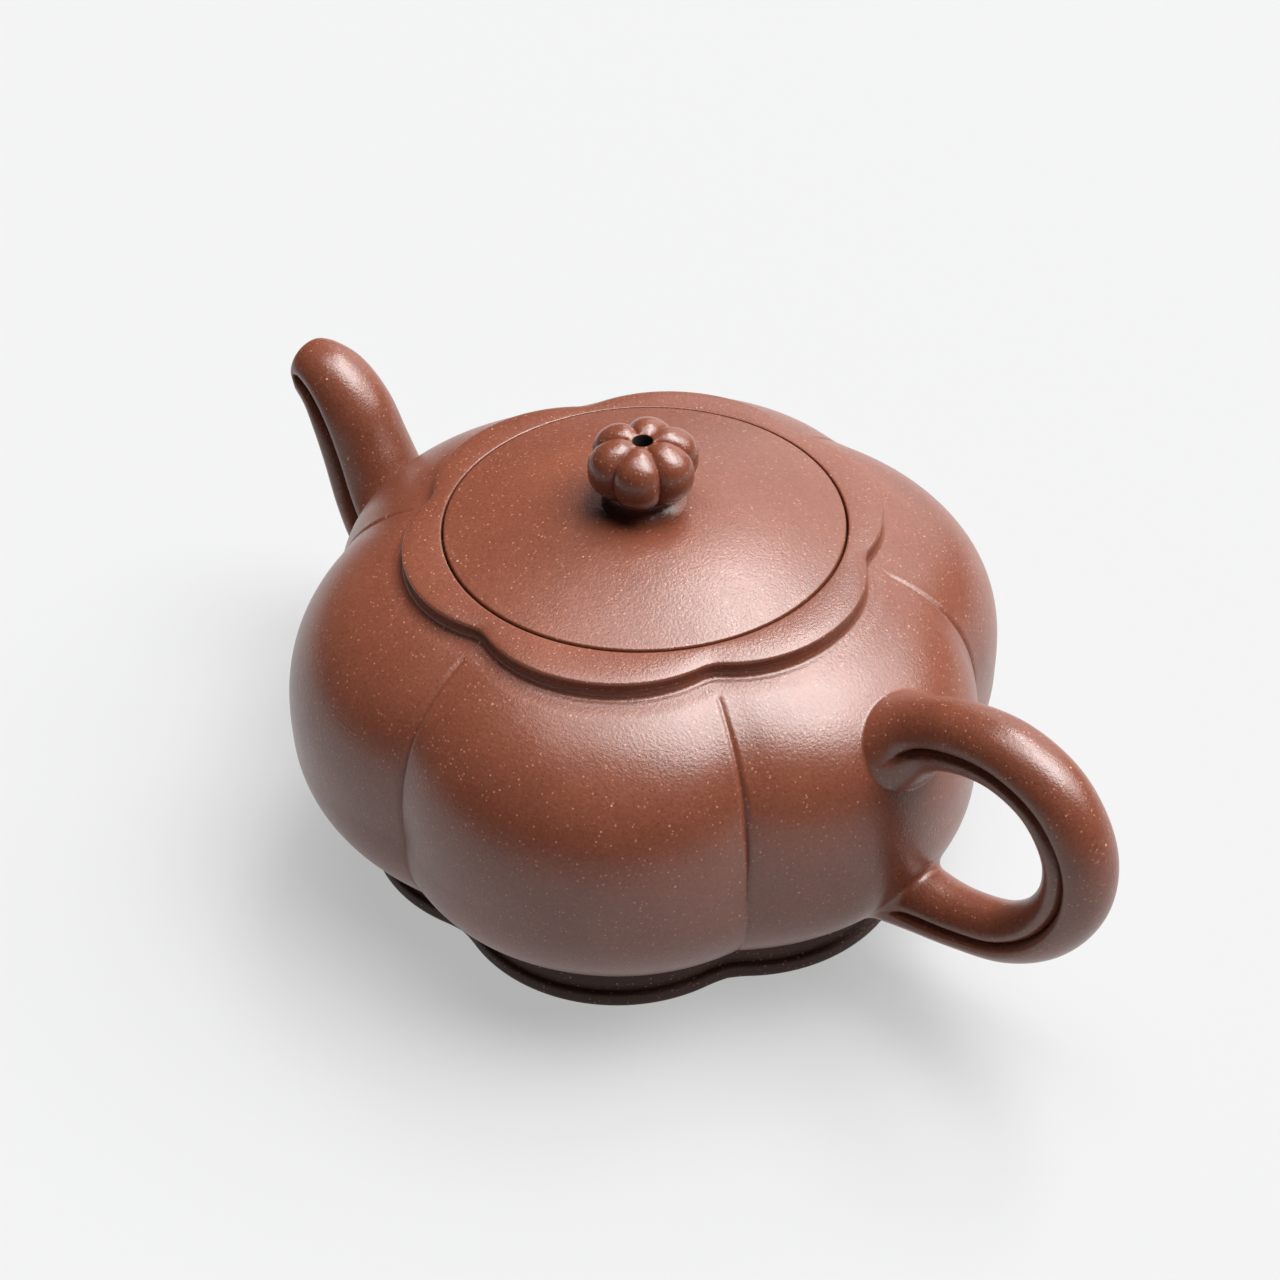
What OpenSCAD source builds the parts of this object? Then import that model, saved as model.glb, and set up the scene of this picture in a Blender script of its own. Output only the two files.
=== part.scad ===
// Lobed clay teapot: a squat melon body of six lobes with a raised collar round the mouth,
// an inlaid round lid with a melon knob, a curved spout and an ear-shaped handle.
// Millimetres. The origin is the centre of the foot, on the surface it stands on.
// The spout points along +X, the handle along -X, and +Z is up.

/* [Body] */
// Greatest radius, on the crest of a lobe
body_r = 54.3; // [52:0.1:56]
// Height of the widest section
equator_z = 25.3; // [24.5:0.1:26]
// Half height of the curve above the widest section
upper_h = 30; // [29.5:0.1:30.5]
// Half height of the curve below the widest section
lower_h = 28.4; // [27.8:0.1:29]
// Fullness of the upper curve
upper_power = 2.78; // [2.6:0.02:3]
// Fullness of the lower curve
lower_power = 2.2; // [2:0.02:2.3]
// Number of lobes round the body
lobes = 6; // [5:1:8]
// Hollow between two lobes at the widest section, as a share of the radius
lobe_depth_mid = 0.094; // [0.06:0.002:0.11]
// The same hollow under the collar
lobe_depth_top = 0.049; // [0.03:0.001:0.06]
// The same hollow at the foot
lobe_depth_foot = 0.062; // [0.05:0.001:0.08]
// Depth of the line cut between two lobes
cut_line = 0.6; // [0.2:0.1:1]
// Thickness of the wall
wall = 3.5; // [3:0.1:4]

/* [Foot] */
// Radius of the foot on the crest of a lobe
foot_r = 44.8; // [44:0.1:45.5]
// Hollow between two lobes of the foot
foot_hollow = 4.35; // [3:0.05:5]
// Height of the lower tier
foot_tier = 2.8; // [2.2:0.1:3.2]
// Width of the foot's wall
foot_wall = 5.2; // [4:0.1:6]
// Height of the pot's floor above the surface
floor_z = 5; // [4.6:0.1:5.4]
// Thickness of the floor plate
floor_t = 3.5; // [3:0.1:4]

/* [Collar and mouth] */
// Radius of the collar on the crest of a lobe
collar_r = 35.3; // [34.8:0.1:36]
// Hollow between two lobes of the collar
collar_hollow = 3.05; // [2:0.05:3.5]
// Height of the collar's outer edge
collar_z = 54; // [53.8:0.1:54.3]
// Height of the shoulder that the collar stands on
shoulder_z = 52; // [51.8:0.1:52.2]
// Radius of the round mouth inside the seat
mouth_r = 25.6; // [24:0.1:26]

/* [Lid] */
// Radius of the lid
lid_r = 29; // [28.5:0.1:29.3]
// Gap between the lid and the collar
lid_gap = 0.3; // [0.25:0.05:0.5]
// Height of the lid's top edge
lid_edge_z = 54.85; // [54.6:0.05:55.2]
// Height of the flat spot in the middle of the lid
lid_top_z = 58.5; // [58:0.1:59]
// Depth of the locating ring under the lid
flange_h = 6.5; // [5:0.1:8]
// Thickness of the locating ring
flange_t = 2.9; // [2.4:0.1:3.4]

/* [Knob] */
// Radius of the knob on the crest of a lobe
knob_r = 8.15; // [7.8:0.05:8.5]
// Half height of the knob
knob_half = 5.6; // [5.3:0.1:5.8]
// Hollow between two lobes of the knob
knob_hollow = 1.15; // [0.8:0.05:1.4]
// Height of the neck below the knob
neck_h = 1.1; // [0.9:0.1:1.5]
// Turn of the knob against the body's lobes, in degrees
knob_turn = 5; // [0:1:59]
// Radius of the vent hole
vent_r = 1.45; // [1.2:0.05:1.7]

/* [Spout] */
// Radius of the spout's tip
tip_r = 4.8; // [4.6:0.05:5.2]
// Thickness of the spout's wall at the tip
spout_wall = 1.5; // [1.4:0.1:1.7]
// Number of holes in the outer ring of the strainer
strainer_holes = 6; // [5:1:6]
// Radius of a strainer hole
strainer_hole_r = 1.1; // [0.9:0.1:1.2]

/* [Handle] */
// Half thickness of the handle
handle_r = 5.05; // [4.8:0.05:5.3]

/* [Hidden] */

clay = "#8f5b4c";
dark_clay = "#6f463c";
pale_clay = "#a06a58";
$fn = 96;

lobe_turn = 360 / lobes;
// Places across one lobe, from -1 at one cut line to just short of 1 at the next
across = [-1, -0.955, -0.85, -0.65, -0.4, -0.13, 0.13, 0.4, 0.65, 0.85, 0.955];
// Width of the cut line, in the same measure
cut_half = 0.045;
steps_up = 11;
seat_r = lid_r + lid_gap;
ring_h = 4;
waist_z = 7.2;
ceiling_z = shoulder_z - 3.2;
spout_root = [50.8, 24];
spout_tilt = -8.5;
strainer_r = 8;
strainer_t = 1.9;
// The strainer's rim stops this far behind the spout's root
strainer_set = 0.35;
// Angle between the strainer's middle hole and the ring of holes round it
strainer_spread = 42;
knob_z = lid_top_z + neck_h + 4.9;

// Stations of the spout: x, z, heading, half height, half width, bore radius
spout_stations = [
    [spout_root[0], spout_root[1], spout_tilt, 10.2, 10, 7.2],
    [56.6, 26.2, 28, 9.5, 9.1, 6.2],
    [61.2, 30.8, 55, 8, 7.9, 5.5],
    [64.2, 37.5, 66, 7.2, 7.2, 4.9],
    [67, 43.3, 55, 6.8, 6.8, 4.3],
    [71, 47.3, 27, 6.1, 6, 4],
    [76.3, 48.8, 10, tip_r, tip_r, tip_r - spout_wall]];

// Stations of the handle: x, z, heading, half thickness, half width
handle_stations = [
    [-48.2, 41.6, 145, 1.34 * handle_r, 1.66 * handle_r],
    [-52.4, 45.6, 145, 1.06 * handle_r, 1.12 * handle_r],
    [-58.4, 48.6, 162, handle_r, 1.02 * handle_r],
    [-65.8, 49.6, 187, handle_r, 1.02 * handle_r],
    [-72.8, 47, 214, 1.02 * handle_r, 1.02 * handle_r],
    [-77.4, 40.6, 246, 1.01 * handle_r, 1.01 * handle_r],
    [-78, 32.9, 276, 0.97 * handle_r, handle_r],
    [-74.8, 25.2, 303, 0.9 * handle_r, 0.98 * handle_r],
    [-68.9, 19.4, 328, 0.84 * handle_r, 0.95 * handle_r],
    [-61.2, 16.4, 350, 0.85 * handle_r, 0.95 * handle_r],
    [-54.4, 15.3, 359, 0.94 * handle_r, 1.08 * handle_r],
    [-49.9, 15.2, 373, 1.04 * handle_r, 1.36 * handle_r]];

// Angles round a grooved tube, from the middle of its inner roll
round_tube = [0, 25, 50, 70, 80, 88, 96, 106, 125, 152, 180, 208, 235, 254, 264, 272, 280, 290, 310, 335];

// Height of the body's outside, lowest point first, closer together near the shoulder
function body_heights() = concat(
    [for (i = [0 : steps_up - 1]) floor_z + (equator_z - floor_z) * sin(90 * i / steps_up)],
    [for (i = [0 : steps_up]) equator_z + (shoulder_z - equator_z) * sin(90 * i / steps_up)]);

// Radius of a rounded curve of half height h and power n, at a height dz from its middle
function full_curve(r, dz, h, n) = r * pow(1 - pow(min(abs(dz) / h, 1), n), 1 / n);

// Radius on the crest of a lobe, for a skin that lies inset from the outside
function crest(z, inset) = z > equator_z
    ? full_curve(body_r - inset, z - equator_z, upper_h - inset, upper_power)
    : full_curve(body_r - inset, z - equator_z, lower_h - inset, lower_power);

// Share of the radius that a hollow takes away, by height
function hollow_share(z) = z > equator_z
    ? lobe_depth_mid + (lobe_depth_top - lobe_depth_mid) * pow((z - equator_z) / (collar_z - equator_z), 1.5)
    : lobe_depth_mid + (lobe_depth_foot - lobe_depth_mid) * (equator_z - z) / (equator_z - floor_z);

// Depth of the cut line at a place across the lobe
function cut(u, depth) = depth * max(0, 1 - (1 - abs(u)) / cut_half);

function outside(z, u) = crest(z, 0) * (1 - hollow_share(z) * u * u) - cut(u, cut_line);
function inside(z, u) = crest(z, wall) * (1 - hollow_share(z) * u * u);

// Radius of the floor plate, which is let into the wall
function floor_r() = inside(floor_z + floor_t, 1) - 0.5;

// Turns a loop of [radius, height] points to the angle of place u on lobe k
function turned(loop, k, u) = let (a = lobe_turn * (k + u / 2))
    [for (p = loop) [p[0] * cos(a), p[0] * sin(a), p[1]]];

// Smooth curve through points p1 and p2, at t between them
function between(p0, p1, p2, p3, t) = 0.5 * (2 * p1 + (p2 - p0) * t
    + (2 * p0 - 5 * p1 + 4 * p2 - p3) * t * t + (3 * p1 - p0 - 3 * p2 + p3) * t * t * t);

// Every station, with extra ones worked out between them
function filled(st, steps) = let (last = len(st) - 1) concat(
    [for (i = [0 : last - 1], s = [0 : steps - 1])
        between(i == 0 ? 2 * st[0] - st[1] : st[i - 1], st[i], st[i + 1],
            i == last - 1 ? 2 * st[last] - st[i] : st[i + 2], s / steps)],
    [st[last]]);

// Radius share of a tube with a roll of its own share along one side, between two grooves
function grooved(a, roll) = let (side = a > 180 ? 360 - a : a)
    (side < 88 ? roll : 1) * (1 - 0.13 * max(0, 1 - abs(side - 88) / 9));

// Point of a tube at a station. side is 1 where the roll lies left of the heading, or -1
function tube_point(s, a, size, width, side) = let (h = s[2])
    [s[0] - side * size * cos(a) * sin(h), width * sin(a), s[1] + side * size * cos(a) * cos(h)];

// Closed skin over a grid of points that joins up both ways
module skin(grid) {
    n = len(grid);
    m = len(grid[0]);
    points = [for (row = grid) each row];
    faces = [for (i = [0 : n - 1], j = [0 : m - 1])
        let (
            a = i * m + j,
            b = ((i + 1) % n) * m + j,
            c = ((i + 1) % n) * m + (j + 1) % m,
            d = i * m + (j + 1) % m)
        each [[a, c, b], [a, d, c]]];
    polyhedron(points = points, faces = faces, convexity = 10);
}

// Closed skin over a row of rings, with a flat cap on each end
module capped(rings) {
    n = len(rings);
    m = len(rings[0]);
    middle = function (ring) [for (k = [0 : 2]) [for (p = ring) 1] * [for (p = ring) p[k]] / m];
    points = concat([for (ring = rings) each ring], [middle(rings[0]), middle(rings[n - 1])]);
    sides = [for (i = [0 : n - 2], j = [0 : m - 1])
        let (a = i * m + j, b = a + m, c = (i + 1) * m + (j + 1) % m, d = i * m + (j + 1) % m)
        each [[a, c, b], [a, d, c]]];
    ends = [for (j = [0 : m - 1]) each [
        [n * m, (j + 1) % m, j],
        [n * m + 1, (n - 1) * m + j, (n - 1) * m + (j + 1) % m]]];
    polyhedron(points = points, faces = concat(sides, ends), convexity = 10);
}

// Six-lobed ring made by turning a loop, which may change with the place u across a lobe
module lobed(loop_at) {
    skin([for (k = [0 : lobes - 1], u = across) turned(loop_at(u), k, u)]);
}

module body_shell() {
    outer = body_heights();
    floor_top = floor_z + floor_t;
    inner = [for (i = [0 : steps_up])
        ceiling_z + (floor_top - ceiling_z) * (1 - cos(180 * i / steps_up)) / 2];
    color(clay) difference() {
        lobed(function (u) concat(
            [for (z = outer) [outside(z, u), z]],
            [[seat_r - 1, shoulder_z], [seat_r - 1, ceiling_z]],
            [for (z = inner) [inside(z, u), z]],
            [[floor_r() - 1, floor_top], [floor_r() - 1, floor_z]]));
        translate([0, 0, ceiling_z - 1]) cylinder(r = seat_r, h = shoulder_z - ceiling_z + 2);
        translate([spout_root[0], 0, spout_root[1]]) rotate([0, 90 - spout_tilt, 0])
            cylinder(r = strainer_r - strainer_t + 0.2, h = 14, center = true);
    }
}

module base_plate() {
    color(dark_clay) translate([0, 0, floor_z]) cylinder(r = floor_r(), h = floor_t);
}

module foot_ring() {
    tier = foot_tier;
    color(dark_clay) lobed(function (u)
        let (r = foot_r - foot_hollow * u * u - cut(u, 0.4), i = r - foot_wall) [
            [r - 0.5, 0], [r - 0.1, 0.35], [r, 0.9], [r, tier - 0.6], [r - 0.3, tier],
            [r - 0.85, tier + 0.25], [r - 0.75, tier + 0.6], [r - 0.9, waist_z],
            [i + 0.6, floor_z], [i, floor_z], [i, 0.5], [i + 0.5, 0]]);
}

module collar() {
    slope = lid_edge_z - collar_z;
    color(clay) difference() {
        lobed(function (u) let (r = collar_r - collar_hollow * pow(abs(u), 2.2)) [
            [r - 0.9, shoulder_z - 1], [r - 0.35, shoulder_z - 0.1], [r, collar_z - 0.9],
            [r - 0.12, collar_z - 0.3], [r - 0.55, collar_z], [r - 2, collar_z + 0.25 * slope],
            [seat_r + 0.35, lid_edge_z], [seat_r - 1, lid_edge_z - 0.3],
            [seat_r - 1, shoulder_z - 1]]);
        translate([0, 0, shoulder_z - 2]) cylinder(r = seat_r, h = 6);
    }
}

module mouth_ring() {
    color(dark_clay) rotate_extrude() polygon([
        [mouth_r + 0.4, shoulder_z - ring_h], [seat_r, shoulder_z - ring_h], [seat_r, shoulder_z],
        [mouth_r + 0.4, shoulder_z], [mouth_r, shoulder_z - 0.4], [mouth_r, shoulder_z - ring_h + 0.4]]);
}

module spout() {
    path = filled(spout_stations, 3);
    last = len(path) - 1;
    tip = path[last];
    color(clay) skin([for (a = round_tube) concat(
        [for (s = path) let (g = grooved(a, 1.02)) tube_point(s, a, s[3] * g, s[4] * g, -1)],
        [tube_point(tip + [0.45, 0.1, 0, 0, 0, 0], a, tip[3] - 0.5, tip[4] - 0.5, -1)],
        [for (k = [0 : last]) let (s = path[last - k]) tube_point(s, a, s[5], s[5], -1)])]);
}

module spout_strainer() {
    inner_r = strainer_r - strainer_t;
    rim = [spout_root[0] - strainer_set, 0, spout_root[1]];
    color(dark_clay) translate(rim) rotate([0, -90 - spout_tilt, 0])
        difference() {
            sphere(r = strainer_r);
            sphere(r = inner_r);
            translate([0, 0, -strainer_r]) cube(2 * strainer_r, center = true);
            cylinder(r = strainer_hole_r, h = 2 * strainer_r);
            for (i = [1 : strainer_holes])
                rotate([0, strainer_spread, 360 * i / strainer_holes])
                    cylinder(r = strainer_hole_r, h = 2 * strainer_r);
        }
}

module handle() {
    path = filled(handle_stations, 4);
    color(clay) capped([for (s = path) [for (a = round_tube)
        let (g = grooved(a, 0.94)) tube_point(s, a, s[3] * g, s[4] * g, 1)]]);
}

module lid_plate() {
    under = shoulder_z;
    flat_r = 6.2;
    rise = lid_top_z - lid_edge_z;
    hollow_r = mouth_r - lid_gap - flange_t;
    dome = [for (i = [0 : 12]) let (t = i / 12, r = lid_r - 0.5 - (lid_r - 0.5 - flat_r) * t)
        [r, lid_edge_z + rise * sin(90 * t)]];
    hollow = [for (i = [0 : 8]) let (t = i / 8) [hollow_r * t, under + 2.6 * sin(90 * (1 - t))]];
    color(clay) difference() {
        rotate_extrude() polygon(concat(
            [[lid_r - 0.4, under], [lid_r, under + 0.4]],
            [[lid_r, lid_edge_z - 0.4], [lid_r - 0.15, lid_edge_z - 0.1]],
            dome, [[0, lid_top_z]], hollow));
        translate([0, 0, under]) cylinder(r = vent_r, h = 10, $fn = 48);
    }
}

module lid_flange() {
    outer_r = mouth_r - lid_gap;
    foot_z = shoulder_z - flange_h;
    color(dark_clay) rotate_extrude() polygon([
        [outer_r - flange_t, foot_z + 0.4], [outer_r - flange_t + 0.4, foot_z], [outer_r - 0.6, foot_z],
        [outer_r, foot_z + 0.6], [outer_r, shoulder_z], [outer_r - flange_t, shoulder_z]]);
}

module knob_neck() {
    flare = 1.6;
    top_r = 4.5;
    fillet = [for (i = [0 : 8]) let (t = 90 * i / 8)
        [top_r + flare * (1 - sin(t)), lid_top_z + neck_h * (1 - cos(t))]];
    color(clay) difference() {
        rotate_extrude() polygon(concat([[0, lid_top_z]], fillet, [[0, lid_top_z + neck_h]]));
        translate([0, 0, lid_top_z - 1]) cylinder(r = vent_r, h = neck_h + 2, $fn = 48);
    }
}

module knob() {
    low = lid_top_z + neck_h;
    rows = 16;
    low_angle = asin((low - knob_z) / knob_half);
    // The last angle stops short of the middle, where the vent hole is
    top_angle = 82;
    dimple = 1.5;
    dimple_r = 2.3;
    color(pale_clay) rotate([0, 0, knob_turn]) difference() {
        lobed(function (u) concat(
            [[knob_r * cos(low_angle) - 0.45 * knob_hollow * u * u - 0.2, low]],
            [for (i = [1 : rows])
                let (
                    a = low_angle + (top_angle - low_angle) * i / rows,
                    r = knob_r * cos(a),
                    hollow = knob_hollow * u * u,
                    sunk = 0.7 * hollow * max(0, sin(a)) + dimple * exp(-pow(r / dimple_r, 2)))
                [r - hollow * cos(a), knob_z + knob_half * sin(a) - sunk]],
            [[vent_r / 2, knob_z + knob_half - dimple - 0.2], [vent_r / 2, low]]));
        translate([0, 0, low - 1]) cylinder(r = vent_r, h = 14, $fn = 48);
    }
}

body_shell();
base_plate();
foot_ring();
collar();
mouth_ring();
spout();
spout_strainer();
handle();
lid_plate();
lid_flange();
knob_neck();
knob();
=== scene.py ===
import math

import bpy
import numpy as np
from mathutils import Matrix, Vector


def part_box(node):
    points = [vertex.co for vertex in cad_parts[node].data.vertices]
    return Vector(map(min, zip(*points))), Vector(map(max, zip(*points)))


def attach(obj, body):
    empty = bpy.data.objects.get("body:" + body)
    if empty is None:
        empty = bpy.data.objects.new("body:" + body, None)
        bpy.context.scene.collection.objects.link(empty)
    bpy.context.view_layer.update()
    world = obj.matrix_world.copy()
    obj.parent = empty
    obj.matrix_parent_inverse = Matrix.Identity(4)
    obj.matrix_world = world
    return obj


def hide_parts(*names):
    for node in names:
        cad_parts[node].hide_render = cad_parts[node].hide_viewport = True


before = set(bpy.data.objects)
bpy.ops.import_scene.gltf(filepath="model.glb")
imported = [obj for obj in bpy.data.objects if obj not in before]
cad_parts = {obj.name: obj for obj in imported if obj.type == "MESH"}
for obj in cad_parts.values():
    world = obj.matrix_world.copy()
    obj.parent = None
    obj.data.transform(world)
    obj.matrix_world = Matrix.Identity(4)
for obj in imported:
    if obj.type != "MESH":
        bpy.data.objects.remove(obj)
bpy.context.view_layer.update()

MM = 0.001


def mm_box(node):
    """Lowest and highest corner of a CAD node, in millimetres."""
    return [np.array(corner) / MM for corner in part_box(node)]


floor_low, floor_high = mm_box("base_plate")
lid_low, lid_high = mm_box("lid_plate")

LOBES = 6
LOBE_TURN = 360 / LOBES

# ---------------------------------------------------------------------------------------------- body
BODY_R = 54.3
EQUATOR_Z = 25.3
# Heights and powers of the superellipses above and below the widest part
UPPER_H, UPPER_POWER = 30.0, 2.78
LOWER_H, LOWER_POWER = 28.4, 2.2
# How far a valley is drawn in, as a share of the radius, and where across a lobe its rounding starts
HOLLOW_MID, HOLLOW_TOP, HOLLOW_FOOT = 0.094, 0.049, 0.062
VALLEY_SOFT = 0.84
WALL = 3.5
# The skin stays just inside the facets of the CAD wall
SKIN_INSET = 0.06
# Beside the collar the skin dips a little, and a cove turns it up the collar's wall
MOAT_WIDTH, MOAT_DEPTH, COVE = 3.4, 0.25, 1.0
# Radius of the floor plate's seat, and of the spout's hole through the wall
FLOOR_SEAT_R = 34.4
SPOUT_HOLE_R = 6.3
FLOOR_Z, FLOOR_T = floor_low[2], floor_high[2] - floor_low[2]
CEILING_Z = 48.8

# ------------------------------------------------------------------------------------ collar and lid
COLLAR_R, COLLAR_HOLLOW = 35.3, 3.2
# Where across a lobe the collar's edge starts to round off, and the power of its curve before that
COLLAR_SOFT, COLLAR_POWER = 0.9, 2.2
COLLAR_Z, COLLAR_LIP_Z = 54.0, 54.7
# Height of the seat in the collar
SEAT_Z = 51.0
LID_R = lid_high[0]
# The lid has this much play in its seat, as a radius
LID_GAP = 0.3
SEAT_R = LID_R + LID_GAP
LID_EDGE_Z = 54.92
LID_UNDER_Z, LID_TOP_Z = lid_low[2], lid_high[2]
LID_FLAT_R = 6.2
# Outer radius of the locating ring under the lid, and its wall
FLANGE_R, FLANGE_T = mm_box("lid_flange")[1][0], 2.9
VENT_R = 1.45

# ---------------------------------------------------------------------------------------------- knob
KNOB_R, KNOB_HOLLOW = 8.15, 1.15
# Half heights and powers of its superellipses below and above the widest part
KNOB_UNDER_H, KNOB_UNDER_POWER = 5.2, 2
KNOB_OVER_H, KNOB_OVER_POWER = 5.22, 2.7
KNOB_Z = 64.5
KNOB_LOW_Z = 60.1
KNOB_TURN = 5
# Depth and radius of the dimple round the vent
DIMPLE_DEPTH, DIMPLE_R = 1.5, 2.3

# ---------------------------------------------------------------------------------------------- foot
FOOT_R, FOOT_HOLLOW = 44.8, 4.35
FOOT_TIER = 2.8
FOOT_WALL = 5.2
WAIST_Z = mm_box("foot_ring")[1][2]

# -------------------------------------------------------------------------------- spout and handle
# x, z, heading in degrees, half height, half width, bore radius
SPOUT = [
    (50.8, 24.0, -8.5, 10.2, 10.0, 7.2),
    (56.6, 26.2, 28, 9.5, 9.1, 6.2),
    (61.2, 30.8, 55, 8.0, 7.9, 5.5),
    (64.2, 37.5, 66, 7.2, 7.2, 4.9),
    (67.0, 43.3, 55, 6.8, 6.8, 4.3),
    (71.0, 47.3, 27, 6.1, 6.0, 4.0),
    (76.3, 48.8, 10, 4.8, 4.8, 3.3),
]
# Places of the two creases round the spout and round the handle in degrees from the middle of the roll,
# the width that each takes, and its depth as a share of the radius
SPOUT_GROOVE = (88, 28, 0.45)
HANDLE_GROOVE = (88, 26, 0.42)
# Points across the curve that ends a tube on the body
ROOT_STEPS = 9
HANDLE_R = 5.05
# x, z, heading in degrees, half thickness and half width as shares of HANDLE_R
HANDLE = [
    (-48.2, 41.6, 145, 1.34, 1.66),
    (-52.4, 45.6, 145, 1.06, 1.12),
    (-58.4, 48.6, 162, 1.00, 1.02),
    (-65.8, 49.6, 187, 1.00, 1.02),
    (-72.8, 47.0, 214, 1.02, 1.02),
    (-77.4, 40.6, 246, 1.01, 1.01),
    (-77.95, 32.9, 276, 0.97, 1.00),
    (-74.8, 25.2, 303, 0.90, 0.98),
    (-68.9, 19.4, 328, 0.84, 0.95),
    (-61.2, 16.4, 350, 0.85, 0.95),
    (-54.4, 15.3, 359, 0.94, 1.08),
    (-49.9, 15.2, 373, 1.04, 1.36),
]


# ------------------------------------------------------------------------------------ shape of the pot
def superellipse(dz, half, power):
    """Share of the full radius at a height dz from the widest part."""
    return (1 - np.minimum(np.abs(dz) / half, 1) ** power) ** (1 / power)


def crest(z, inset=0.0):
    """Radius on the crest of a lobe at height z, for a skin that lies inset from the outside."""
    z = np.asarray(z, float)
    up = superellipse(z - EQUATOR_Z, UPPER_H - inset, UPPER_POWER)
    down = superellipse(z - EQUATOR_Z, LOWER_H - inset, LOWER_POWER)
    return (BODY_R - inset) * np.where(z > EQUATOR_Z, up, down)


def hollow_share(z):
    """How far the valleys are drawn in at height z, as a share of the radius."""
    z = np.asarray(z, float)
    up = np.clip((z - EQUATOR_Z) / (COLLAR_Z - EQUATOR_Z), 0, None) ** 1.5
    down = (EQUATOR_Z - z) / (EQUATOR_Z - FLOOR_Z)
    return np.where(
        z > EQUATOR_Z,
        HOLLOW_MID + (HOLLOW_TOP - HOLLOW_MID) * up,
        HOLLOW_MID + (HOLLOW_FOOT - HOLLOW_MID) * down,
    )


def lobe_place(angle):
    """Place across a lobe, -1 and 1 at its two valleys and 0 on its crest, for an angle in degrees."""
    t = np.asarray(angle, float) / LOBE_TURN
    return 2 * (t - np.round(t))


def smooth(low, high, x):
    """0 up to low and 1 from high on, with a smooth step between them."""
    t = np.clip((np.asarray(x, float) - low) / (high - low), 0, 1)
    return t * t * (3 - 2 * t)


def valley_share(u, z):
    """How far the skin is drawn in across a lobe: a sharp valley low down, a rounded one by the collar."""
    x = np.abs(u)
    rounding = np.clip((x - VALLEY_SOFT) / (1 - VALLEY_SOFT), 0, 1)
    soft = x * x - (1 - VALLEY_SOFT) * rounding**2
    return x * x + (soft - x * x) * (0.12 + 0.88 * smooth(38, 50, z))


def body_r(z, u, inset=0.0):
    """Radius of the body at height z and place u across a lobe."""
    return crest(z, inset) * (1 - hollow_share(z) * valley_share(u, z))


# ------------------------------------------------------------------------------------- mesh making
def torus_faces(n, m):
    """Faces over an n by m grid of points that joins up both ways."""
    i, j = np.meshgrid(np.arange(n), np.arange(m), indexing="ij")
    a = i * m + j
    b = ((i + 1) % n) * m + j
    c = ((i + 1) % n) * m + (j + 1) % m
    d = i * m + (j + 1) % m
    return np.stack([a, b, c, d], -1).reshape(-1, 4)


def ribbon_faces(n, m):
    """Faces over an n by m grid that joins up along m only."""
    i, j = np.meshgrid(np.arange(n - 1), np.arange(m), indexing="ij")
    a = i * m + j
    d = i * m + (j + 1) % m
    return np.stack([a, d, d + m, a + m], -1).reshape(-1, 4)


def signed_volume(points, faces):
    """Above 0 where the four-sided faces look outwards."""
    p = points[faces]
    one = np.einsum("ij,ij->i", p[:, 0], np.cross(p[:, 1], p[:, 2])).sum()
    two = np.einsum("ij,ij->i", p[:, 0], np.cross(p[:, 2], p[:, 3])).sum()
    return one + two


def make_piece(name, points, faces, fans=(), sharp=38):
    """A mesh object from points in millimetres and four-sided faces, turned to face outwards. fans are
    three-sided faces that close an end."""
    points = np.asarray(points, float).reshape(-1, 3)
    quads = np.asarray(faces)
    flip = signed_volume(points, quads) < 0
    loops = [list(map(int, f)) for f in quads] + [list(map(int, f)) for f in fans]
    if flip:
        loops = [f[::-1] for f in loops]
    mesh = bpy.data.meshes.new(name)
    mesh.from_pydata((points * MM).tolist(), [], loops)
    mesh.validate()
    mesh.shade_smooth()
    mesh.set_sharp_from_angle(angle=math.radians(sharp))
    mesh.update()
    piece = bpy.data.objects.new(name, mesh)
    bpy.context.scene.collection.objects.link(piece)
    return piece


def revolved(name, loop, steps=192, sharp=38):
    """A closed [radius, height] loop turned round the upright axis."""
    loop = np.asarray(loop, float)
    a = np.radians(np.arange(steps) * 360 / steps)
    x = loop[None, :, 0] * np.cos(a)[:, None]
    y = loop[None, :, 0] * np.sin(a)[:, None]
    z = np.broadcast_to(loop[None, :, 1], x.shape)
    return make_piece(name, np.stack([x, y, z], -1), torus_faces(steps, len(loop)), sharp=sharp)


def lobed(name, loop_at, places, turn=0.0, sharp=38):
    """A ring made by turning a [radius, height] loop that changes with the place across a lobe."""
    rows = []
    for k in range(LOBES):
        for u in places:
            a = math.radians(LOBE_TURN * (k + u / 2) + turn)
            loop = loop_at(u)
            rows.append([(r * math.cos(a), r * math.sin(a), z) for r, z in loop])
    return make_piece(name, rows, torus_faces(len(rows), len(rows[0])), sharp=sharp)


def places_across(radius, near, far, count):
    """Places across one lobe, closely set beside its valleys: near is the first step from a valley, in
    millimetres along the valley's circle of that radius."""
    half = math.radians(LOBE_TURN / 2) * radius
    t = np.linspace(0, 1, count)
    power = math.log(near / half) / math.log(t[1])
    from_valley = half * t ** min(power, far)
    left = -1 + from_valley / half
    right = 1 - from_valley[::-1] / half
    return np.concatenate([left, right[1:-1]])


def bezier(a, b, c, count):
    """A curve of count points from a to c, drawn towards b."""
    t = np.linspace(0, 1, count)[:, None]
    a, b, c = (np.asarray(p, float)[None] for p in (a, b, c))
    return (1 - t) ** 2 * a + 2 * t * (1 - t) * b + t * t * c


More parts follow.
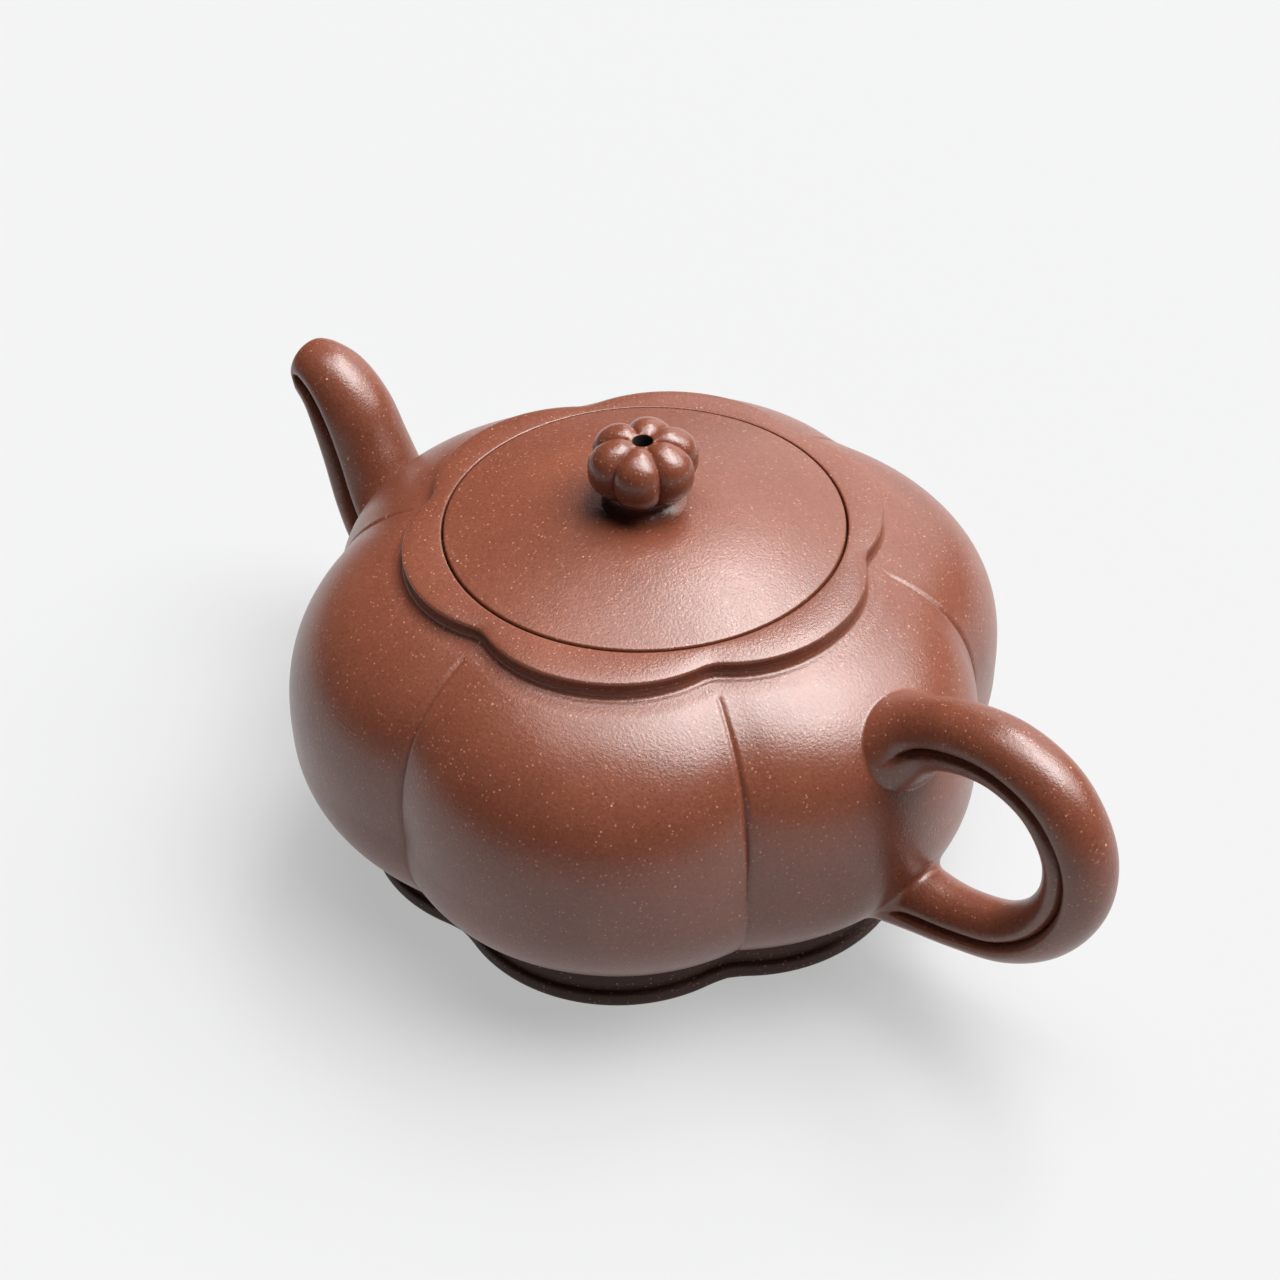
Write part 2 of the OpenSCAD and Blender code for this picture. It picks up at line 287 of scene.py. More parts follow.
def rounded(points, radii, steps=4):
    """A closed [x, y] loop whose corners are rounded by these radii."""
    out = []
    n = len(points)
    for i, (p, r) in enumerate(zip(points, radii)):
        p = np.asarray(p, float)
        before = np.asarray(points[i - 1], float) - p
        after = np.asarray(points[(i + 1) % n], float) - p
        if r <= 0:
            out.append(p)
            continue
        back = min(r, 0.48 * np.linalg.norm(before))
        ahead = min(r, 0.48 * np.linalg.norm(after))
        a = p + before / np.linalg.norm(before) * back
        c = p + after / np.linalg.norm(after) * ahead
        out.extend(bezier(a, p, c, steps + 1))
    return [tuple(q) for q in out]


def collar_share(u):
    """How far the collar's edge is drawn in, 0 on a crest and about 1 in a valley, which is rounded."""
    x = abs(u)
    if x < COLLAR_SOFT:
        return x**COLLAR_POWER
    start = COLLAR_SOFT**COLLAR_POWER
    slope = COLLAR_POWER * COLLAR_SOFT ** (COLLAR_POWER - 1)
    t = (x - COLLAR_SOFT) / (1 - COLLAR_SOFT)
    return start + slope * (1 - COLLAR_SOFT) * (t - t * t / 2)


def collar_edge(u):
    return COLLAR_R - COLLAR_HOLLOW * collar_share(u)


# ---------------------------------------------------------------------------------------- the pieces
def cut_depth(z, from_valley):
    """Depth of the line cut between two lobes. It is crisp from under the collar to the widest part,
    and fades below it."""
    depth = 0.12 + 0.37 * smooth(24, 38, z)
    depth = depth * (1 - smooth(50.5, 51.1, z))
    width = 0.36 + 0.14 * smooth(26, 44, z)
    x = np.clip(1 - np.abs(from_valley) / width, 0, 1)
    return depth * x * (2 - x) * 0.9


def body_loop(u, outer, inner):
    """The body's closed [radius, height] loop at a place across a lobe: up the outside, over the
    shoulder, in under the collar, down the inside and out under the floor plate."""
    r = body_r(outer, u, SKIN_INSET)
    from_valley = (1 - abs(u)) * math.radians(LOBE_TURN / 2) * r
    r = r - cut_depth(outer, from_valley)
    shoulder = outer > EQUATOR_Z

    def shoulder_z(radius):
        return np.interp(radius, r[shoulder][::-1], outer[shoulder][::-1])

    # Every loop has the same number of points up to the moat
    wall_r = collar_edge(u) - 0.2
    moat_z = shoulder_z(wall_r + MOAT_WIDTH)
    kept = np.append(outer[outer < moat_z], moat_z)
    z = np.interp(np.linspace(0, 1, len(outer)), np.linspace(0, 1, len(kept)), kept)
    outside = np.stack([np.interp(z, outer, r), z], -1)

    out_by = np.linspace(MOAT_WIDTH, COVE, 14)[1:]
    bed = shoulder_z(wall_r + out_by) - MOAT_DEPTH * smooth(MOAT_WIDTH, COVE, out_by)
    moat = np.stack([wall_r + out_by, bed], -1)
    cove = bezier((wall_r + COVE, bed[-1]), (wall_r, bed[-1]), (wall_r, bed[-1] + COVE), 6)[1:]

    # The rest lies under the collar, round the mouth ring and behind the floor plate
    top_z = COLLAR_Z - 0.75
    ring_r, ring_z = SEAT_R + 0.4, SEAT_Z + 0.2
    seat = [(wall_r, top_z), (ring_r + 0.7, top_z), (ring_r, top_z - 0.4), (ring_r, ring_z)]
    seat += [(SEAT_R, SEAT_Z), (SEAT_R, CEILING_Z)]
    inside = np.stack([body_r(inner, u, WALL), inner], -1)
    floor_top = FLOOR_Z + FLOOR_T
    floor_r = float(body_r(floor_top, u, WALL))
    bowl = bezier(inside[-1], (floor_r, floor_top + 0.05), (floor_r - 3.4, floor_top + 0.04), 6)[1:]
    behind = [(FLOOR_SEAT_R, floor_top + 0.03), (FLOOR_SEAT_R, FLOOR_Z - 0.02)]
    return np.vstack([outside, moat, cove, seat, inside, bowl, behind])


def make_body():
    t = np.linspace(0, 1, 70)
    rise = np.sin(np.radians(90 * t))
    low = FLOOR_Z + (EQUATOR_Z - FLOOR_Z) * rise[:-1]
    high = EQUATOR_Z + (CEILING_Z + 3.4 - EQUATOR_Z) * rise
    outer = np.concatenate([low, high])
    bowl_z = FLOOR_Z + FLOOR_T + 2.2
    inner = CEILING_Z + (bowl_z - CEILING_Z) * (1 - np.cos(np.pi * t[::2])) / 2
    places = places_across(49, 0.14, 1.75, 34)
    return lobed("pot_body", lambda u: body_loop(u, outer, inner), places, sharp=50)


def make_collar():
    lip_r = SEAT_R + 0.25

    def loop_at(u):
        r = collar_edge(u)

        def top(t):
            rise = 1 - (1 - t) ** 1.7
            return r + (lip_r - r) * t, COLLAR_Z + (COLLAR_LIP_Z - COLLAR_Z) * rise

        edge = [(r - 0.55, SEAT_Z + 0.2), (r - 0.25, SEAT_Z + 1.4), (r, COLLAR_Z - 0.08), top(0.2)]
        crown = [top(t) for t in np.linspace(0.3, 0.96, 8)]
        lip = [crown[-1], (SEAT_R, COLLAR_LIP_Z), (SEAT_R, SEAT_Z + 2)]
        return (
            rounded(edge, [0, 0.3, 0.42, 0], 5)
            + crown[:-1]
            + rounded(lip, [0, 0.25, 0])
            + [(SEAT_R, SEAT_Z)]
        )

    return lobed("collar_ring", loop_at, places_across(33, 0.25, 1.5, 30), sharp=40)


def make_foot():
    def loop_at(u):
        rounding = max(0, (abs(u) - VALLEY_SOFT) / (1 - VALLEY_SOFT))
        r = FOOT_R - FOOT_HOLLOW * 1.05 * (u * u - 0.13 * rounding**2)
        i = r - FOOT_WALL
        # Radius, height and rounding of each corner, up the outside and down the inside
        corners = [
            (r - 0.35, 0, 0.5),
            (r, 0.8, 0.4),
            (r - 0.02, FOOT_TIER - 0.2, 0.6),
            (r - 0.95, FOOT_TIER + 0.15, 0.3),
            (r - 0.7, FOOT_TIER + 1.1, 0.4),
            (r - 0.75, 5.4, 0),
            (r - 1.0, WAIST_Z, 0),
            (i + 0.6, FLOOR_Z + 0.3, 0),
            (i, FLOOR_Z + 0.1, 0),
            (i, 0.4, 0.4),
            (i + 0.5, 0, 0.4),
        ]
        return rounded([c[:2] for c in corners], [c[2] for c in corners])

    return lobed("foot_band", loop_at, places_across(41, 0.3, 1.6, 26), sharp=45)


def make_lid():
    t = np.linspace(0, 1, 56)
    dome_r = LID_R - 0.45
    r = dome_r - (dome_r - LID_FLAT_R) * t
    dome = list(zip(r, LID_EDGE_Z + (LID_TOP_Z - LID_EDGE_Z) * np.sin(np.radians(90 * t))))
    edge = [(LID_R, LID_UNDER_Z + 0.6), (LID_R, LID_EDGE_Z - 0.07), dome[2]]
    # Inside the locating ring the lid's underside is a shallow dome
    hollow_r = FLANGE_R - FLANGE_T
    under = [
        (VENT_R + (hollow_r - VENT_R) * x, LID_UNDER_Z + 2.6 * math.cos(math.radians(90 * x)))
        for x in np.linspace(0, 1, 24)
    ]
    loop = (
        [(LID_R - 0.35, LID_UNDER_Z), (LID_R, LID_UNDER_Z + 0.35)]
        + rounded(edge, [0, 0.34, 0], 5)[:-1]
        + dome[2:]
        + [(VENT_R + 0.3, LID_TOP_Z), (VENT_R, LID_TOP_Z - 0.1), (VENT_R, LID_UNDER_Z + 2.8)]
        + under
    )
    return revolved("lid_dome", loop, 256, sharp=40)


def make_neck():
    top_z, low_z = KNOB_LOW_Z + 0.1, LID_TOP_Z - 0.6
    pad = bezier((7.2, LID_TOP_Z - 0.18), (4.6, LID_TOP_Z + 0.05), (4.3, top_z), 14)
    loop = [*pad, (VENT_R, top_z), (VENT_R, low_z), (6.6, low_z)]
    return revolved("knob_base", loop, 128, sharp=50)


def knob_height(r, half, power):
    """Height of the knob's skin over its widest part, or under it, at radius r."""
    return half * (1 - min(r / KNOB_R, 1) ** power) ** (1 / power)


def make_knob():
    # The skin runs from the foot out to the widest part, and in to the vent's rim. Each of its points
    # is at a turn from the level of the widest part.
    low_share = 1 - ((KNOB_Z - KNOB_LOW_Z) / KNOB_UNDER_H) ** KNOB_UNDER_POWER
    low_r = KNOB_R * low_share ** (1 / KNOB_UNDER_POWER)
    under_turns = np.linspace(math.acos(low_r / KNOB_R), 0, 18)
    over_turns = np.linspace(0, math.acos((VENT_R + 0.1) / KNOB_R), 36)[1:]

    def loop_at(u):
        x = abs(u)
        # The lobes are full, and meet in narrow creases
        deep = KNOB_HOLLOW * 1.3 * (0.7 * x**2 + 0.3 * x**4.5)
        skin = []
        for turn in under_turns:
            r = KNOB_R * math.cos(turn)
            z = KNOB_Z - knob_height(r, KNOB_UNDER_H, KNOB_UNDER_POWER)
            skin.append((r - deep * math.cos(turn), z))
        for turn in over_turns:
            r = KNOB_R * math.cos(turn)
            # The creases are shallower near the top and end before the vent
            crease = deep * (1 - 0.3 * float(smooth(0.7, 1.3, turn))) * float(smooth(1.4, 2.5, r))
            dimple = DIMPLE_DEPTH * math.exp(-((r / DIMPLE_R) ** 2))
            z = KNOB_Z + knob_height(r, KNOB_OVER_H, KNOB_OVER_POWER) - dimple
            skin.append((r - crease * math.cos(turn), z - 0.7 * crease * math.sin(turn)))
        rim, rim_z = skin[-1], skin[-1][1]
        mouth = bezier(rim, (VENT_R, rim_z - 0.05), (VENT_R, rim_z - 0.3), 5)[1:]
        return [(low_r - 0.6, KNOB_LOW_Z), *skin, *mouth, (VENT_R, KNOB_LOW_Z)]

    return lobed("knob_melon", loop_at, places_across(7, 0.06, 1.5, 22), turn=KNOB_TURN, sharp=60)


# ------------------------------------------------------------------------------------- swept tubes
def catmull(stations, steps):
    """Stations joined up by a smooth curve with this many steps between each two."""
    st = np.asarray(stations, float)
    padded = np.vstack([2 * st[0] - st[1], st, 2 * st[-1] - st[-2]])
    out = []
    for i in range(1, len(padded) - 2):
        p0, p1, p2, p3 = padded[i - 1 : i + 3]
        for t in np.arange(steps) / steps:
            curve = 2 * p1 + (p2 - p0) * t + (2 * p0 - 5 * p1 + 4 * p2 - p3) * t * t
            out.append((curve + (3 * p1 - p0 - 3 * p2 + p3) * t**3) / 2)
    return np.array(out + [padded[-2]])


def tube_angles(count, groove, width):
    """Angles round a tube from the middle of its roll, close together beside the two grooves."""
    even = np.arange(count) * 360 / count
    beside = np.array([0.1, 0.2, 0.34, 0.5, 0.7, 0.9])
    close = groove + width * np.concatenate([-beside[::-1], [0], beside])
    both = np.concatenate([close, 360 - close])
    kept = [a for a in even if np.abs(a - both).min() > 2.2]
    return np.sort(np.concatenate([kept, both]))


def grooved(angle, roll, groove, width, depth):
    """Radius share round a tube with a roll along one side, which meets the rest in two creases."""
    side = np.where(angle > 180, 360 - angle, angle)
    share = roll + (1 - roll) * smooth(groove - 6, groove + 6, side)
    x = np.clip(1 - np.abs(side - groove) / width, 0, 1)
    return share * (1 - depth * x**3)


def tube_points(path, shares, angles, side):
    """Skin of a tube: a row of points round it for each station of its path. side is 1 where the roll is
    on the left of the heading and -1 where it is on the right."""
    a = np.radians(angles)[None]
    path_x, path_z, heading, up, wide = (path[:, k][:, None] for k in range(5))
    h = np.radians(heading)
    x = path_x - side * up * shares * np.cos(a) * np.sin(h)
    z = path_z + side * up * shares * np.cos(a) * np.cos(h)
    return np.stack([x, wide * shares * np.sin(a), z], -1)


def outside_by(points):
    """How far points are outside the body's skin, measured level, below 0 inside it."""
    r = np.hypot(points[..., 0], points[..., 1])
    u = lobe_place(np.degrees(np.arctan2(points[..., 1], points[..., 0])))
    return r - body_r(points[..., 2], u)


def body_normal(p):
    """Direction straight out of the body's skin at p."""
    e = 0.05
    steps = np.eye(3) * e
    g = np.array([outside_by(p + s) - outside_by(p - s) for s in steps])
    return g / np.linalg.norm(g)


def onto_body(p):
    """The point of the body's skin near p, found in three steps, and a hair below it."""
    for _ in range(3):
        n = body_normal(p)
        level = np.append(p[:2] / np.linalg.norm(p[:2]), 0)
        p = p - n * outside_by(p) * (n @ level)
    return p - body_normal(p) * 0.04


def rooted(skin, reach, count, from_start, sink=0.5):
    """Ends the tube's skin on the body. Each line along the tube stops where it meets the body, less
    reach, and turns out over the body's skin in a curve as long as reach. reach has a value for each
    angle. Every line has count points and ROOT_STEPS more."""
    rows, lines = skin.shape[:2]
    out = np.zeros((count + ROOT_STEPS, lines, 3))
    for j in range(lines):
        # line runs from the body outwards, and meets the skin between hit - 1 and hit
        line = skin[:, j] if from_start else skin[::-1, j]
        d = outside_by(line)
        hit = max(int(np.argmax(d > 0)), 1)
        t = -d[hit - 1] / (d[hit] - d[hit - 1])
        meet = line[hit - 1] + t * (line[hit] - line[hit - 1])
        middle = skin[hit if from_start else rows - 1 - hit].mean(0)
        free = np.vstack([meet, line[hit:]])
        length = np.append(0, np.cumsum(np.linalg.norm(np.diff(free, axis=0), axis=1)))

        def along(distance):
            return np.stack([np.interp(distance, length, free[:, k]) for k in range(3)], -1)

        run = along(np.linspace(reach[j], length[-1], count))
        n = body_normal(meet)
        away = meet - middle
        away = away - n * (away @ n)
        away /= np.linalg.norm(away)
        foot = onto_body(meet + away * reach[j])
        turn = bezier(run[0], meet, foot, ROOT_STEPS)[1:]
        out[:, j] = np.vstack([run[::-1], turn, foot - body_normal(foot) * sink])
    return out


def make_spout():
    groove, width, depth = SPOUT_GROOVE
    angles = tube_angles(96, groove, 24)
    whole = np.ones((1, len(angles)))
    path = catmull(SPOUT, 14)
    # The creases start a little behind the lip, which is rounded over
    from_root = np.linspace(0, 1, len(path))
    fade = smooth(1.0, 0.93, from_root)[:, None]
    shares = 1 + (grooved(angles, 1.03, groove, width, depth)[None] - 1) * fade
    gap = np.hypot(*(path[:, :2] - path[-1, :2]).T)
    shares = shares * (1 - 0.075 * np.clip(1 - gap / 1.8, 0, 1) ** 2)[:, None]
    skin = tube_points(path, shares, angles, -1)
    # The joint with the body is crisp above and flared below
    reach = 0.2 + 1.2 * ((1 + np.cos(np.radians(angles))) / 2) ** 2
    outer = rooted(skin, reach, 110, True)
    # The lip's rings: how far each is ahead of the bore's last ring, and its radius
    heading = math.radians(path[-1, 2])
    ahead = np.array([math.cos(heading), 0, math.sin(heading)])
    rims = []
    for out_by, size in [(0.22, 3.4), (0.4, 3.62), (0.46, 3.86), (0.38, 4.12), (0.2, 4.32)]:
        ring = np.array([[*path[-1, :3], size, size]])
        rims.append(tube_points(ring, whole, angles, -1)[0] + ahead * out_by)
    bore = catmull([(*s[:3], s[5], s[5]) for s in SPOUT], 8)
    inside = tube_points(bore, whole, angles, -1)
    grid = np.concatenate([inside, np.array(rims), outer])
    return make_piece("spout_tube", grid, torus_faces(len(grid), len(angles)), sharp=50)


def make_handle():
    groove, width, full_depth = HANDLE_GROOVE
    angles = tube_angles(96, groove, width)
    path = catmull([(*s[:3], s[3] * HANDLE_R, s[4] * HANDLE_R) for s in HANDLE], 16)
    # The creases fade out on both roots
    along = np.linspace(0, 1, len(path))
    depths = full_depth * smooth(0.035, 0.13, along) * (1 - smooth(0.86, 0.98, along))
    shares = [grooved(angles, 1 - 0.05 * min(1, d / 0.2), groove, width, d) for d in depths]
    skin = tube_points(path, np.stack(shares), angles, 1)
    half = len(path) // 2
    upper = rooted(skin[: half + 1], np.full(len(angles), 0.35), 150, True, 0.4)
    lower = rooted(skin[half:], np.full(len(angles), 1.3), 150, False, 0.4)
    grid = np.concatenate([upper[::-1], lower[1:]])
    # Both ends are buried in the wall, and closed by a fan round a middle point
    n, m = grid.shape[:2]
    ends = [grid[0].mean(0), grid[-1].mean(0)]
    last = (n - 1) * m
    fans = [(n * m, (j + 1) % m, j) for j in range(m)]
    fans += [(last + j, last + (j + 1) % m, n * m + 1) for j in range(m)]
    points = np.vstack([grid.reshape(-1, 3), ends])
    return make_piece("handle_loop", points, ribbon_faces(n, m), fans, sharp=50)


# --------------------------------------------------------------------------------------- materials
def clay(name, dark, mid, pale, roughness, grain=1.0, gloss=0.66):
    """Fired purple clay: a mottled brown body of three tones with fine sand in it, and a skin that long
    polishing has left satin. grain is the amount of sand. Scales are per metre."""
    m = bpy.data.materials.new(name)
    m.use_nodes = True
    nt = m.node_tree
    nodes, link = nt.nodes, nt.links.new
    shader = nodes["Principled BSDF"]
    place = nodes.new("ShaderNodeTexCoord")

    def noise(scale, detail, rough=0.5):
        n = nodes.new("ShaderNodeTexNoise")
        n.inputs["Scale"].default_value = scale
        n.inputs["Detail"].default_value = detail
        n.inputs["Roughness"].default_value = rough
        link(place.outputs["Object"], n.inputs["Vector"])
        return n.outputs["Fac"]

    def ramp(value, stops):
        r = nodes.new("ShaderNodeValToRGB")
        band = r.color_ramp
        while len(band.elements) < len(stops):
            band.elements.new(0.5)
        for e, (at, colour) in zip(band.elements, stops):
            e.position = at
            e.color = (*colour, 1)
        link(value, r.inputs["Fac"])
        return r.outputs["Color"]

    def mix(kind, factor, one, two):
        """Mixes two colours by a factor. The factor and the second colour are constants or sockets."""
        x = nodes.new("ShaderNodeMix")
        x.data_type = "RGBA"
        x.blend_type = kind
        if isinstance(factor, float):
            x.inputs["Factor"].default_value = factor
        else:
            link(factor, x.inputs["Factor"])
        link(one, x.inputs["A"])
        if isinstance(two, tuple):
            x.inputs["B"].default_value = (*two, 1)
        else:
            link(two, x.inputs["B"])
        return x.outputs["Result"]

    def maths(kind, one, two):
        x = nodes.new("ShaderNodeMath")
        x.operation = kind
        for k, v in enumerate((one, two)):
            if isinstance(v, (int, float)):
                x.inputs[k].default_value = v
            else:
                link(v, x.inputs[k])
        return x.outputs["Value"]

    # Broad mottling, then a fine one
    body = ramp(noise(38, 4, 0.55), [(0.3, dark), (0.5, mid), (0.72, pale)])
    fine = ramp(noise(1900, 3, 0.65), [(0.32, (0.80, 0.77, 0.75)), (0.68, (1.14, 1.13, 1.12))])
    body = mix("MULTIPLY", 0.9, body, fine)

    def sand(scale, size, share, colour, base):
        """Grains in a share of the cells, each of a size in cells. Gives the new colour and the grains."""
        cell = nodes.new("ShaderNodeTexVoronoi")
        cell.inputs["Scale"].default_value = scale
        cell.inputs["Randomness"].default_value = 1
        link(place.outputs["Object"], cell.inputs["Vector"])
        near = maths("LESS_THAN", cell.outputs["Distance"], size)
        pick = nodes.new("ShaderNodeSeparateColor")
        link(cell.outputs["Color"], pick.inputs["Color"])
        few = maths("LESS_THAN", pick.outputs["Red"], share)
        spot = maths("MULTIPLY", near, few)
        strength = maths("MULTIPLY", spot, pick.outputs["Green"])
        return mix("MIX", strength, base, colour), spot

    # Pale grains, smaller ones, and a few dark ones
    body, spots = sand(800, 0.14, 0.07 * grain, (0.46, 0.25, 0.165), body)
    body, _ = sand(1900, 0.29, 0.26 * grain, (0.36, 0.155, 0.10), body)
    body, _ = sand(1700, 0.22, 0.08 * grain, (0.08, 0.026, 0.015), body)
    link(body, shader.inputs["Base Color"])

    rough = nodes.new("ShaderNodeMapRange")
    rough.inputs["To Min"].default_value = roughness - 0.05
    rough.inputs["To Max"].default_value = roughness + 0.07
    link(noise(260, 4, 0.6), rough.inputs["Value"])
    link(rough.outputs["Result"], shader.inputs["Roughness"])
    shader.inputs["IOR"].default_value = 1.5
    shader.inputs["Specular IOR Level"].default_value = gloss

    # Orange peel over a slow unevenness of the hand-beaten wall
    peel = noise(2400, 2, 0.6)
    slow = noise(160, 3, 0.5)
    height = maths("ADD", peel, maths("MULTIPLY", slow, 0.8))
    height = maths("ADD", height, maths("MULTIPLY", spots, 0.2))
    bump = nodes.new("ShaderNodeBump")
    bump.inputs["Strength"].default_value = 0.5
    bump.inputs["Distance"].default_value = 0.1 * MM
    link(height, bump.inputs["Height"])
    link(bump.outputs["Normal"], shader.inputs["Normal"])
    return m


CLAY = clay("clay_satin", (0.139, 0.0405, 0.0215), (0.166, 0.050, 0.0275), (0.196, 0.062, 0.035), 0.28)
BARE = clay(
    "clay_bare", (0.150, 0.049, 0.026), (0.178, 0.060, 0.033), (0.210, 0.073, 0.041), 0.60, grain=1.3
)
# The foot's clay is painted far darker than the body's: painted shade, for the shadow under the body
FOOT_PAINTED_SHADE = clay(
    "clay_foot", (0.046, 0.017, 0.010), (0.057, 0.021, 0.013), (0.072, 0.028, 0.017), 0.58, gloss=0.35
)
POLISHED = clay(
    "clay_polished", (0.143, 0.042, 0.023), (0.171, 0.051, 0.028), (0.205, 0.064, 0.036), 0.24, grain=0.8
)
# Near-black clay: painted shade for the knob's vent bore
VENT_PAINTED_SHADE = clay("clay_vent_painted_shade", (0.010, 0.005, 0.004), (0.014, 0.007, 0.005), (0.020, 0.010, 0.007), 0.70)


def dress(piece, material, slot, body, *nodes):
    piece.data.materials.clear()
    piece.data.materials.append(material)
    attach(piece, body)
    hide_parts(*nodes)


def pierce(piece):
    """Cuts the hole through the wall that the strainer covers, along the spout's first heading."""
    x, z, heading = SPOUT[0][:3]
    bpy.ops.mesh.primitive_cylinder_add(vertices=64, radius=SPOUT_HOLE_R * MM, depth=4 * WALL * MM)
    cutter = bpy.context.object
    turn = Matrix.Rotation(math.radians(90 - heading), 4, "Y")
    cutter.matrix_world = Matrix.Translation(Vector((x, 0, z)) * MM) @ turn
    bpy.context.view_layer.update()
    hole = piece.modifiers.new("spout_hole", "BOOLEAN")
    hole.operation = "DIFFERENCE"
    hole.solver = "EXACT"
    hole.object = cutter
    graph = bpy.context.evaluated_depsgraph_get()
    pierced = bpy.data.meshes.new_from_object(piece.evaluated_get(graph))
    piece.modifiers.clear()
    piece.data = pierced
    bpy.data.objects.remove(cutter)


pot_body = make_body()
pierce(pot_body)
dress(pot_body, CLAY, "clay", "pot", "body_shell")
dress(make_collar(), CLAY, "clay", "pot", "collar")
dress(make_foot(), FOOT_PAINTED_SHADE, "clay_foot", "pot", "foot_ring")
dress(make_spout(), CLAY, "clay", "pot", "spout")
dress(make_handle(), CLAY, "clay", "pot", "handle")
dress(make_lid(), CLAY, "clay", "lid", "lid_plate")
dress(make_neck(), CLAY, "clay", "lid", "knob_neck")
knob = make_knob()
dress(knob, POLISHED, "clay_polished", "lid", "knob")

# The vent's bore is painted near black: painted shade, standing in for the shade down the hole
knob.data.materials.append(VENT_PAINTED_SHADE)
for face in knob.data.polygons:
    if math.hypot(*face.center[:2]) < (VENT_R + 0.03) * MM:
        face.material_index = 1

# The pieces that the pot hides are the CAD's own
for node in ("base_plate", "mouth_ring", "spout_strainer", "lid_flange"):
    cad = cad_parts[node]
    cad.data.materials.clear()
    cad.data.materials.append(BARE)


# ------------------------------------------------------------------------------------------- stage
FLOOR_R = 4.0
# Under the foot by this much, so that the two faces don't share a plane
FLOOR_DROP = 0.02 * MM
# The floor glows faintly round the pot, out to the first radius, and not beyond the second: painted light
# that lifts the shadows on the floor there. Its middle lies behind the pot.
GLOW_MIDDLE = (0.15, -0.15, 0)
GLOW_RADII = (0.315, 0.50)
GLOW = 0.44
# Strength of the backdrop as it is seen, and of the light that it gives
BACKDROP_SEEN, BACKDROP_LIGHT = 0.50, 0.02


def map_range(tree, value, target, **ends):
    """Maps a value on to a socket. The ends are named as the node's inputs are, with _ for a space."""
    node = tree.nodes.new("ShaderNodeMapRange")
    for name, end in ends.items():
        node.inputs[name.replace("_", " ")].default_value = end
    tree.links.new(value, node.inputs["Value"])
    tree.links.new(node.outputs["Result"], target)
    return node


def make_floor():
    turns = np.linspace(0, 2 * math.pi, 96, endpoint=False)
    ring = [(FLOOR_R * math.cos(t), FLOOR_R * math.sin(t), -FLOOR_DROP) for t in turns]
    mesh = bpy.data.meshes.new("floor")
    mesh.from_pydata(ring, [], [list(range(len(ring)))])
    floor = bpy.data.objects.new("floor", mesh)
    bpy.context.scene.collection.objects.link(floor)

    paper = bpy.data.materials.new("paper")
    paper.use_nodes = True
    tree = paper.node_tree
    sheet = tree.nodes["Principled BSDF"]
    sheet.inputs["Base Color"].default_value = (0.190, 0.191, 0.192, 1)
    sheet.inputs["Roughness"].default_value = 0.9
    sheet.inputs["Specular IOR Level"].default_value = 0.1
    sheet.inputs["Emission Color"].default_value = (1, 1, 1, 1)
    place = tree.nodes.new("ShaderNodeTexCoord")
    away = tree.nodes.new("ShaderNodeVectorMath")
    away.operation = "DISTANCE"
    away.inputs[1].default_value = GLOW_MIDDLE
    tree.links.new(place.outputs["Object"], away.inputs[0])
    near, far = GLOW_RADII
    # Painted light: the floor's emission round the pot lightens the shadows there
    glow = map_range(
        tree,
        away.outputs["Value"],
        sheet.inputs["Emission Strength"],
        From_Min=near,
        From_Max=far,
        To_Min=GLOW,
        To_Max=0.0,
    )
    glow.interpolation_type = "SMOOTHSTEP"
    mesh.materials.append(paper)


def make_backdrop():
    """A pale backdrop whose own light is low, so that the lamps shape the pot."""
    world = bpy.data.worlds.new("studio")
    bpy.context.scene.world = world
    world.use_nodes = True
    tree = world.node_tree
    back = tree.nodes["Background"]
    back.inputs["Color"].default_value = (1, 1, 1, 1)
    seen = tree.nodes.new("ShaderNodeLightPath")
    ends = {"To_Min": BACKDROP_LIGHT, "To_Max": BACKDROP_SEEN}
    map_range(tree, seen.outputs["Is Camera Ray"], back.inputs["Strength"], **ends)


